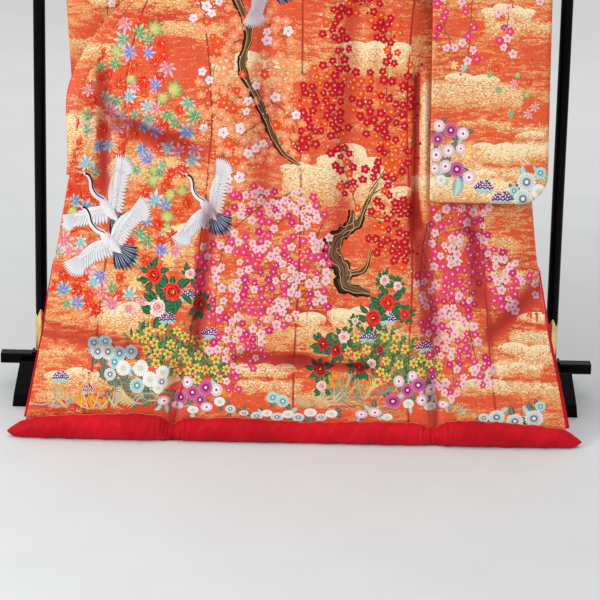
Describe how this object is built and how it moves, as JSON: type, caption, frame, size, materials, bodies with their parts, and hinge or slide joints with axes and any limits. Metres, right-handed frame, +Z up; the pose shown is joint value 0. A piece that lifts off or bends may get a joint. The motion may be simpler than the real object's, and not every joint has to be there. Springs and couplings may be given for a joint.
{
  "type": "uchikake wedding kimono on lacquered kimono stand",
  "caption": "Wedding kimono with a padded hem, hung open by its sleeves over the pole of a lacquered stand, its back towards the viewer and its fronts drawn out at the sides.",
  "frame": {"origin": "middle of the whole piece's bounding box, on the floor: midway between the posts in X, and midway from the front of the hem roll to the back of the feet in Y", "axes": "+X to the right of a viewer who looks at the kimono's back, +Y from that viewer through the kimono towards its front, +Z up"},
  "size_m": [1.81, 0.6372, 1.8],
  "materials": {
    "brocade": "woven silk with gold, satin sheen",
    "overlap_brocade": "woven silk with gold, satin sheen",
    "collar_brocade": "woven silk with gold, satin sheen",
    "sleeve_brocade": "woven silk with gold, satin sheen",
    "crimson_silk": "padded crimson silk, soft satin",
    "black_lacquer": "black lacquer, semi-gloss",
    "gilt_brass": "polished gilt brass"
  },
  "bodies": {
    "root": {"back_left": "brocade", "back_right": "brocade", "front_left": "brocade", "front_right": "brocade", "overlap_left": "overlap_brocade", "overlap_right": "overlap_brocade", "collar_left": "collar_brocade", "collar_right": "collar_brocade", "sleeve_left_back": "sleeve_brocade", "sleeve_left_front": "sleeve_brocade", "sleeve_right_back": "sleeve_brocade", "sleeve_right_front": "sleeve_brocade", "hem_roll_left": "crimson_silk", "hem_roll_middle": "crimson_silk", "hem_roll_right": "crimson_silk", "edge_roll_left": "crimson_silk", "edge_roll_right": "crimson_silk", "foot_left": "black_lacquer", "foot_right": "black_lacquer", "lower_bar": "black_lacquer", "plinth_left": "black_lacquer", "plinth_right": "black_lacquer", "post_left": "black_lacquer", "post_right": "black_lacquer", "post_socket_left": "gilt_brass", "post_socket_right": "gilt_brass", "pole_saddle_left": "gilt_brass", "pole_saddle_right": "gilt_brass", "pole_cap_left": "gilt_brass", "pole_cap_right": "gilt_brass", "pole": "black_lacquer"}
  },
  "joints": []
}
